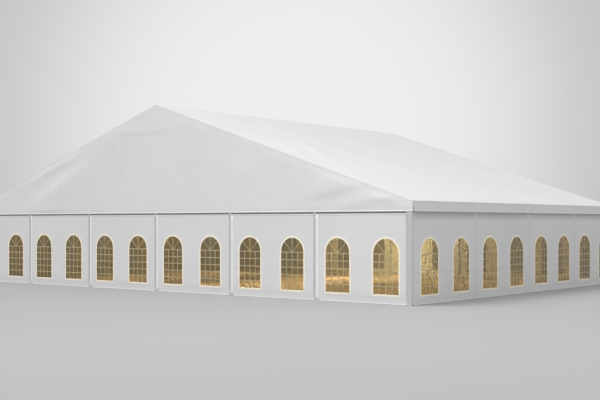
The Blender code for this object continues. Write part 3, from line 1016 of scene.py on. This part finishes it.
# %% Make the roof covers
ROOF_RIPPLE = (0.005, 0.9, 3.2)
COVER_EDGE_STEPS = (0.0, 0.008, 0.02, 0.04, 0.08, 0.15)
COVER_COLUMNS = 34
COVER_ROWS = 92
COVER_ROPE_ROWS = 0.1
COVER_SAG = 0.014
COVER_LIFT = 0.008
GROOVE_DIP = 0.001
GROOVE_WIDTH = 0.02
# How far from the ridge, the eave and the rafters the cloth is held.
RIDGE_HELD = 1.2
EAVE_HELD = 0.6
RAFTER_HELD = 0.5
purlin_step = slope_end / (len(PURLINS) + 1)


def make_roof_cover(n, side):
    """Make one bay's cover on one slope."""
    low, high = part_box(f"roof_cover_{n}")
    hand = "left" if side < 0 else "right"
    waves = ripple(f"roof {n} {hand}", *ROOF_RIPPLE)
    folds = cover_folds(n, hand, low.y, high.y)
    ys = [low.y + d for d in COVER_EDGE_STEPS]
    ys += between(low.y + COVER_EDGE_STEPS[-1], high.y - COVER_EDGE_STEPS[-1], COVER_COLUMNS)[1:-1]
    ys += [high.y - d for d in reversed(COVER_EDGE_STEPS)]
    ss = between(0.0, slope_start, 4) + between(slope_start, slope_end - COVER_ROPE_ROWS, COVER_ROWS)[1:]
    ss += [slope_end - 2 * EAVE_ROPE * (1 - t) for t in between(0.0, 1.0, 8)]

    def place(r, c):
        y, s = ys[c], ss[r]
        side_gap = min(y - low.y, high.y - y)
        across = math.sin(math.pi * (y - low.y) / (high.y - low.y)) ** 2
        along = rise(s, RIDGE_HELD) * rise(slope_end - s, EAVE_HELD)
        soft = waves(y, s) + sum(crease(s, y, *fold) for fold in folds)
        clear = math.sin(math.pi * s / purlin_step) ** 2
        lift = (COVER_LIFT + soft) * along * rise(side_gap, RAFTER_HELD)
        lift -= COVER_SAG * across * along * clear
        lift += hem_roll(slope_end - s, EAVE_ROPE)
        lift -= GROOVE_DIP * (1 - rise(side_gap, GROOVE_WIDTH))
        return roof_point(side * s, y, lift)

    grid = make_grid(len(ss), len(ys), place, flip=side > 0)
    piece = link_cloth(f"{hand}_roof_cover_{n}", grid, roof_cloth, lining)
    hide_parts(f"roof_cover_{n}")
    return piece


covers = [make_roof_cover(n, side) for n in range(1, wall_bays["right"] + 1) for side in (-1, 1)]
print(len(covers), "roof covers of", round(slope_end, 2), "m")

# %% [markdown]
# ## Valances
# A strip of cloth hangs from each eave over the top of the side wall and keeps the rain off the joint.
# A rope in its hem keeps it straight. It is welded bay by bay, which leaves it very slightly wavy. A flat
# strip would look like a board, so the same ripple moves it, more and more towards its loose hem.

# %% Make the valances
VALANCE_HEM = 0.025
VALANCE_SWING = 0.05
VALANCE_RIPPLE = (0.006, 1.2, 3.5)
VALANCE_COLUMNS = 200
VALANCE_DROPS = [0.0, 0.06, 0.12, 0.2, 0.28]
VALANCE_ABOVE_HEM = 0.02


def make_valance(side):
    """Make the valance of one long side."""
    hand = "left" if side < 0 else "right"
    low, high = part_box(f"{hand}_valance")
    tall = high.z - hem_z
    waves = ripple(f"valance {hand}", *VALANCE_RIPPLE)
    ys = between(low.y, high.y, VALANCE_COLUMNS)
    drops = VALANCE_DROPS + [tall - 2 * VALANCE_HEM - VALANCE_ABOVE_HEM]
    drops += [tall - 2 * VALANCE_HEM * (1 - t) for t in between(0.0, 1.0, 8)]

    def place(r, c):
        drop = drops[r]
        loose = rise(drop, tall)
        out = VALANCE_SWING * loose + waves(ys[c], drop) * loose + hem_roll(tall - drop, VALANCE_HEM)
        return Vector((side * (eave_face + out), ys[c], high.z - drop))

    grid = make_grid(len(drops), len(ys), place, flip=side > 0)
    piece = link_cloth(f"{hand}_valance_cloth", grid, wall_cloth)
    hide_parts(f"{hand}_valance")
    return piece


valances = [make_valance(side) for side in (-1, 1)]
print("valances", [p.name for p in valances])

# %% [markdown]
# ## Keder rails
# Beside every post stands a C-shaped rail, whose slot holds the bead behind the panel's edge. On gables
# another runs under the transom and holds the panel's head, and a grey rubber seal above it keeps the
# draught out. Its grey is partly painted shadow: together with the real shade of the slot, it makes the
# dark line under the gable sheet. On the roof the groove is in the top of each rafter, and a white PVC
# strip pressed over it keeps the rain out between two covers.
#
# A curve with a bevel profile could make a rail. Its section is drawn as points instead, because each of
# them then has a plain size, and only its two ends are needed.

# %% Rails beside the posts, head rails and seals
RAIL_WIDTH = 0.014
RAIL_BACK = 0.016
RAIL_FRONT = 0.008
RAIL_OUT = 0.026
RAIL_SLOT = 0.0035
RAIL_WALL = 0.003
HEAD_GAP = 0.002
HEAD_RAIL_OUT = (-0.0195, 0.0415)
HEAD_RAIL_HEIGHT = 0.012
SEAL_OUT = (-0.0195, -0.008)
SEAL_FOOT = 0.013
SEAL_LAP = 0.03


def rail_section(hand, at, turn, z):
    """Return a C-shaped rail's section: it opens away from the post, at one height."""
    lip = RAIL_WIDTH - RAIL_WALL
    corners = [(0.0, -RAIL_BACK), (RAIL_WIDTH, -RAIL_BACK), (RAIL_WIDTH, -RAIL_SLOT), (lip, -RAIL_SLOT)]
    corners += [(lip, -RAIL_BACK + RAIL_WALL), (RAIL_WALL, -RAIL_BACK + RAIL_WALL)]
    corners += [(RAIL_WALL, RAIL_FRONT - RAIL_WALL), (lip, RAIL_FRONT - RAIL_WALL)]
    corners += [(lip, RAIL_SLOT), (RAIL_WIDTH, RAIL_SLOT), (RAIL_WIDTH, RAIL_FRONT), (0.0, RAIL_FRONT)]
    return [wall_point(hand, at + turn * a, RAIL_OUT + out, z) for a, out in corners]


def add_level_bar(bm, hand, start, end, outs, foot, head):
    """Add a square bar along a wall from start to end."""
    corners = ((outs[0], foot), (outs[1], foot), (outs[1], head), (outs[0], head))
    add_bar(bm, [[wall_point(hand, at, out, z) for out, z in corners] for at in (start, end)])


seals = bmesh.new()
for hand, count in wall_bays.items():
    rails = bmesh.new()
    for n in range(1, count + 1):
        start, end, top = wall_span(hand, n)
        for at, turn in ((start, 1), (end, -1)):
            add_bar(rails, [rail_section(hand, at, turn, z) for z in (0.0, top)])
        if hand in GABLES:
            head = top + HEAD_GAP
            add_level_bar(rails, hand, start, end, HEAD_RAIL_OUT, head, head + HEAD_RAIL_HEIGHT)
            # The seal's grey paints part of the slot's shadow.
            add_level_bar(seals, hand, start, end, SEAL_OUT, head + SEAL_FOOT, hem_z + SEAL_LAP)
    link_solid(f"{hand}_keder_rails", rails, upright_metal, smooth=False)
link_solid("transom_seals_painted_shadow", seals, rubber, smooth=False)
print("keder rails on", len(wall_bays), "walls, and the seals")

# %% Strips between the covers
STRIP_WIDTH = 0.03
STRIP_RISE = 0.0015
STRIP_SKIRT = 0.0035
STRIP_HALF = ((0.5, -STRIP_SKIRT), (0.5, 0.0), (0.3, STRIP_RISE))
STRIP_SECTION = [(-off, lift) for off, lift in STRIP_HALF] + [*reversed(STRIP_HALF)]
strip_steps = between(0.0, slope_start, 4) + between(slope_start, slope_end, 12)[1:]
for n, y in enumerate(frame_ys[1:-1], start=2):
    bm = bmesh.new()
    for side in (-1, 1):
        places = [(y + off * STRIP_WIDTH, lift) for off, lift in STRIP_SECTION]
        add_bar(bm, [[roof_point(side * s, *place) for place in places] for s in strip_steps])
    link_solid(f"rafter_cover_strip_{n}", bm, roof_cloth)
print("strips over", len(frame_ys) - 2, "rafters")

# %% [markdown]
# ## Bolts, ground pins and bracing
# The members are bolted through steel inserts at the knees and the ridge, pins hold every foot plate
# to the ground, and steel cables cross in the end bays of the walls and the roof. They show from
# inside and through the windows. Each cable runs from end to end, with a turnbuckle in it.
#
# Each could be a detailed model of its own, but they are seen from metres away. A washer, a hexagonal
# head, a pin and a cable are all short or long rods. The bolts are one piece and the pins another, and
# each end bay's cables make one piece for each side's wall and one for each roof slope.

# %% Bolts
# Each disc of a bolt, a washer and a hexagonal head: its thickness, its radius and its sides.
BOLT = ((0.004, 0.024, 16), (0.011, 0.015, 6))
LEG_BOLTS_DOWN = (0.16, 0.26, 0.36, 0.46)
LEG_BOLTS_IN = (0.075, 0.185)
RAFTER_BOLTS_ALONG = (0.12, 0.3, 14.55, 14.35, 14.15)
RAFTER_BOLTS_DEEP = (0.07, 0.2)


def add_discs(bm, at, axis, discs):
    """Stack a fastener's discs on a face, each on the last."""
    foot = Vector(at)
    for thickness, radius, sides in discs:
        head = foot + Vector(axis) * thickness
        add_rod(bm, foot, head, radius, sides)
        foot = head


def bolt_places(side, y):
    """Return the bolts' places on one face of one half of a portal frame."""
    for down in LEG_BOLTS_DOWN:
        for inwards in LEG_BOLTS_IN:
            yield (side * (leg_face - inwards), y, hem_z - down)
    for along in RAFTER_BOLTS_ALONG:
        for deep in RAFTER_BOLTS_DEEP:
            yield roof_point(side * along, y, -deep)


bolts = bmesh.new()
for y in frame_ys:
    for face in (-1, 1):
        face_y = y + face * half_width
        if abs(face_y) < half_length:
            for at in [*bolt_places(-1, face_y), *bolt_places(1, face_y)]:
                add_discs(bolts, at, (0, face, 0), BOLT)
print("bolts", len(bolts.verts) // sum(2 * sides for _, _, sides in BOLT))
link_solid("frame_bolts", bolts, steel, smooth=False)

# %% Ground pins
# A pin's neck and its head.
PIN = ((0.05, 0.013, 12), (0.016, 0.024, 12))
PLATE_TOP = 0.012
LEG_PINS_IN = (0.32, 0.13)
LEG_PINS_OFF = (-0.105, 0.105)
POST_PINS_OFF = (-0.1, 0.1)
POST_PINS_BACK = 0.09

pin_places = []
for side in (-1, 1):
    for y in frame_ys:
        for inwards in LEG_PINS_IN:
            pin_places += [(side * (leg_face - inwards), y + off) for off in LEG_PINS_OFF]
    post_y = side * (half_length - half_width - POST_PINS_BACK)
    pin_places += [(x + off, post_y) for x in upright_xs for off in POST_PINS_OFF]
pin_places = [(x, y) for x, y in pin_places if abs(y) < half_length]
pins = bmesh.new()
for x, y in pin_places:
    add_discs(pins, (x, y, PLATE_TOP), (0, 0, 1), PIN)
print("ground pins", len(pin_places))
link_solid("ground_pins", pins, steel)

# %% Bracing cables
CABLE_RADIUS = 0.006
SCREW_RADIUS = 0.016
SCREW_SPAN = (0.5, 0.86)
LUG = 0.05
MEMBER_DEPTH = 0.26
CABLE_PASS = 0.03
WALL_CABLE_ENDS = (0.3, 3.6)
ROOF_CABLE_DEPTHS = (0.16, 0.19)
RIDGE_CLEAR = 0.25
EAVE_CLEAR = 0.75


def add_cable(bm, start, end):
    """Add a taut cable with lugs at its ends and a turnbuckle near its lower end."""
    start, end = Vector(start), Vector(end)
    along = (end - start).normalized()
    add_rod(bm, start, end, CABLE_RADIUS, sides=6)
    add_rod(bm, start + along * SCREW_SPAN[0], start + along * SCREW_SPAN[1], SCREW_RADIUS)
    for point, turn in ((start, 1), (end, -1)):
        add_rod(bm, point, point + along * turn * LUG, SCREW_RADIUS)


foot, head = WALL_CABLE_ENDS
for end_name, near, far, inward in (("front", 0, 1, 1), ("back", -1, -2, -1)):
    y0 = frame_ys[near] + inward * half_width
    y1 = frame_ys[far] - inward * half_width
    for hand, side in zip(SIDES, (-1, 1)):
        bm = bmesh.new()
        x = side * (leg_face - MEMBER_DEPTH + CABLE_PASS)
        add_cable(bm, (x, y0, foot), (x, y1, head))
        add_cable(bm, (x + side * CABLE_PASS, y1, foot), (x + side * CABLE_PASS, y0, head))
        link_solid(f"{end_name}_{hand}_wall_bracing", bm, steel)
        bm = bmesh.new()
        for n in range(len(PURLINS) + 1):
            s0 = max(n * purlin_step, RIDGE_CLEAR)
            s1 = (n + 1) * purlin_step if n < len(PURLINS) else slope_end - EAVE_CLEAR
            for (a, b), deep in zip(((s0, s1), (s1, s0)), ROOF_CABLE_DEPTHS):
                add_cable(bm, roof_point(side * a, y0, -deep), roof_point(side * b, y1, -deep))
        link_solid(f"{end_name}_{hand}_roof_bracing", bm, steel)
print("bracing in the end bays, each cross", round(abs(y1 - y0), 2), "m wide")

# %% [markdown]
# ## Floor
# The tent stands on a plain pale floor, painted matt so that it throws soft light up at the walls. A
# plane's corners could show on the horizon, so it is a disc far wider than the view.

# %% Floor
FLOOR_RADIUS = 160.0
FLOOR_DROP = 0.002

bm = bmesh.new()
bmesh.ops.create_circle(bm, cap_ends=True, radius=FLOOR_RADIUS, segments=96)
mesh = bpy.data.meshes.new("studio_floor")
bm.to_mesh(mesh)
bm.free()
paint = toned_finish("matt studio floor", "B1B1B1", "ABABAB", scale=0.08, detail=2.0, roughness=0.9)
mesh.materials.append(paint)
floor = bpy.data.objects.new("studio_floor", mesh)
floor.location.z = -FLOOR_DROP
bpy.context.scene.collection.objects.link(floor)
print("floor", 2 * FLOOR_RADIUS, "m across")

# %% [markdown]
# ## Light
# A studio for something 30 m wide is mostly sky: a soft, even glow, with one broad light high up in
# front and to the left, so that the roof is brightest, then the gable, then the long side. A soft box by
# the near corner and one over the roof's near end let the far ends fall off a little. The camera alone
# sees a greyer backdrop, with a soft halo behind the tent.
#
# Warm spot lamps hang in the hall, under the roof. Six light the deck, which glows amber through the
# lower panes, four throw light on the back wall, which shows through the upper ones, and one brightens
# a patch of the deck. Spots rather than bare bulbs, because they can be kept off the roof's cloth.

# %% Sky
SKY_GLOW = 0.7
EDGE_GLOW = 0.577
GLOW_CENTRE = 0.86
GLOW_FROM = 0.955
GLOW_TOWARDS = (-0.642, 0.768, 0.09)

world = bpy.data.worlds.new("studio")
bpy.context.scene.world = world
world.use_nodes = True
tree = world.node_tree
towards = add_node(tree, "TexCoord")
centre = Vector(GLOW_TOWARDS).normalized()
facing = add_node(tree, "VectorMath", {0: towards, 1: centre}, operation="DOT_PRODUCT")
glow = {0: facing, 1: GLOW_FROM, 2: 1.0, 3: EDGE_GLOW, 4: GLOW_CENTRE}
halo = add_node(tree, "MapRange", glow, interpolation_type="SMOOTHSTEP")
ray = add_node(tree, "LightPath", out="Is Camera Ray")
strength = add_node(tree, "Mix", {"Factor": ray, "A": SKY_GLOW, "B": halo})
set_inputs(tree, tree.nodes["Background"], {"Strength": strength, "Color": linear("FFFFFF")})
print("the sky lights with", SKY_GLOW, "and shows", EDGE_GLOW, "to", GLOW_CENTRE)

# %% Key light and soft boxes
KEY_ENERGY = 1.45
KEY_FROM = (-0.2, -0.195, 0.369)
# Each soft box: its name, place, aim, watts and size.
SOFT_BOXES = (
    ("corner_soft_box", (22.0, -28.0, 22.0), (8.0, -8.0, 4.0), 1230.0, 14.0),
    ("roof_soft_box", (12.0, -14.0, 24.0), (12.0, -14.0, 0.0), 392.0, 8.0),
)


def hang_light(name, kind, place, aim, strength, **settings):
    """Hang a light of one kind that points at aim and isn't seen itself."""
    light = bpy.data.objects.new(name, bpy.data.lights.new(name, kind))
    light.data.energy = strength
    for key, value in settings.items():
        setattr(light.data, key, value)
    light.location = place
    light.rotation_euler = (Vector(place) - Vector(aim)).to_track_quat("Z", "Y").to_euler()
    light.visible_camera = False
    bpy.context.scene.collection.objects.link(light)
    return light


hang_light("key_light", "SUN", KEY_FROM, (0.0, 0.0, 0.0), KEY_ENERGY, angle=math.radians(35.0))
for name, place, aim, watts, size in SOFT_BOXES:
    hang_light(name, "AREA", place, aim, watts, size=size)
print("key light", KEY_ENERGY, "W/m2, from", [round(c, 2) for c in Vector(KEY_FROM).normalized()])

# %% Lamps in the hall
LAMP_COLOUR = linear("FFE8C4")[:3]
WALL_LAMP_COLOUR = linear("FFF4CE")[:3]
LAMP_HEIGHT = 5.5
LAMP_WATTS = {-9.5: 1600.0, 1.0: 3900.0, 9.5: 1350.0}
BACK_WALL_AIM = (10.0, 2.0)
DECK_PATCH = (0.2, 4.2)
# Each lamp: its name, place, watts, spread in degrees and radius.
BACK_WALL_LAMPS = (
    ("back_wall_lamp", (1.5, 4.5, 5.5), 4600.0, 66.0, 1.8),
    ("back_wall_fill", (3.5, 0.0, 5.5), 4600.0, 95.0, 1.8),
    ("back_wall_left", (-4.6, 4.5, 5.5), 1800.0, 60.0, 1.0),
    ("back_wall_right", (11.5, 3.0, 3.0), 900.0, 80.0, 0.6),
)


def hang_lamp(name, place, aim, watts, spread, blend, colour, radius):
    """Hang a soft spot lamp in the hall."""
    look = {"spot_size": math.radians(spread), "spot_blend": blend, "shadow_soft_size": radius}
    return hang_light(name, "SPOT", place, aim, watts, color=colour, **look)


lamps = []
for x, watts in LAMP_WATTS.items():
    for y in (-4.0, 4.0):
        at = (x, y, LAMP_HEIGHT)
        lamps.append(hang_lamp("hall_lamp", at, (x, y, 0.0), watts, 95.0, 0.6, LAMP_COLOUR, 0.5))
for name, place, watts, spread, radius in BACK_WALL_LAMPS:
    aim = (place[0], *BACK_WALL_AIM)
    lamps.append(hang_lamp(name, place, aim, watts, spread, 0.9, WALL_LAMP_COLOUR, radius))
at = (*DECK_PATCH, LAMP_HEIGHT)
lamps.append(hang_lamp("deck_lamp", at, (*DECK_PATCH, 0.0), 4400.0, 30.0, 0.8, LAMP_COLOUR, 0.3))
print(len(lamps), "lamps in the hall")

# %% [markdown]
# ## Camera
# The place, direction and lens could be set by eye, but were found from the edges of the tent in the
# picture: the camera is level, 3.3 m up, and its frame is shifted so that verticals stay upright.

# %% Camera
FRAME_PIXELS = 600
FOCAL_PIXELS = 1039.4
CENTRE_PIXEL = (349.4, 223.02)
MIDDLE_PIXEL = (300.0, 200.0)
YAW = math.radians(37.18)

camera = bpy.data.objects.new("camera", bpy.data.cameras.new("camera"))
camera.location = (38.18, -44.76, 3.325)
camera.rotation_euler = (math.radians(90.0), 0.0, YAW)
camera.data.sensor_width = 36.0
camera.data.lens = FOCAL_PIXELS / FRAME_PIXELS * camera.data.sensor_width
camera.data.shift_x = (MIDDLE_PIXEL[0] - CENTRE_PIXEL[0]) / FRAME_PIXELS
camera.data.shift_y = (CENTRE_PIXEL[1] - MIDDLE_PIXEL[1]) / FRAME_PIXELS
camera.data.clip_end = 1000.0
bpy.context.scene.collection.objects.link(camera)
bpy.context.scene.camera = camera
bpy.context.scene.view_settings.view_transform = "Standard"
print("lens", round(camera.data.lens, 1), "mm")
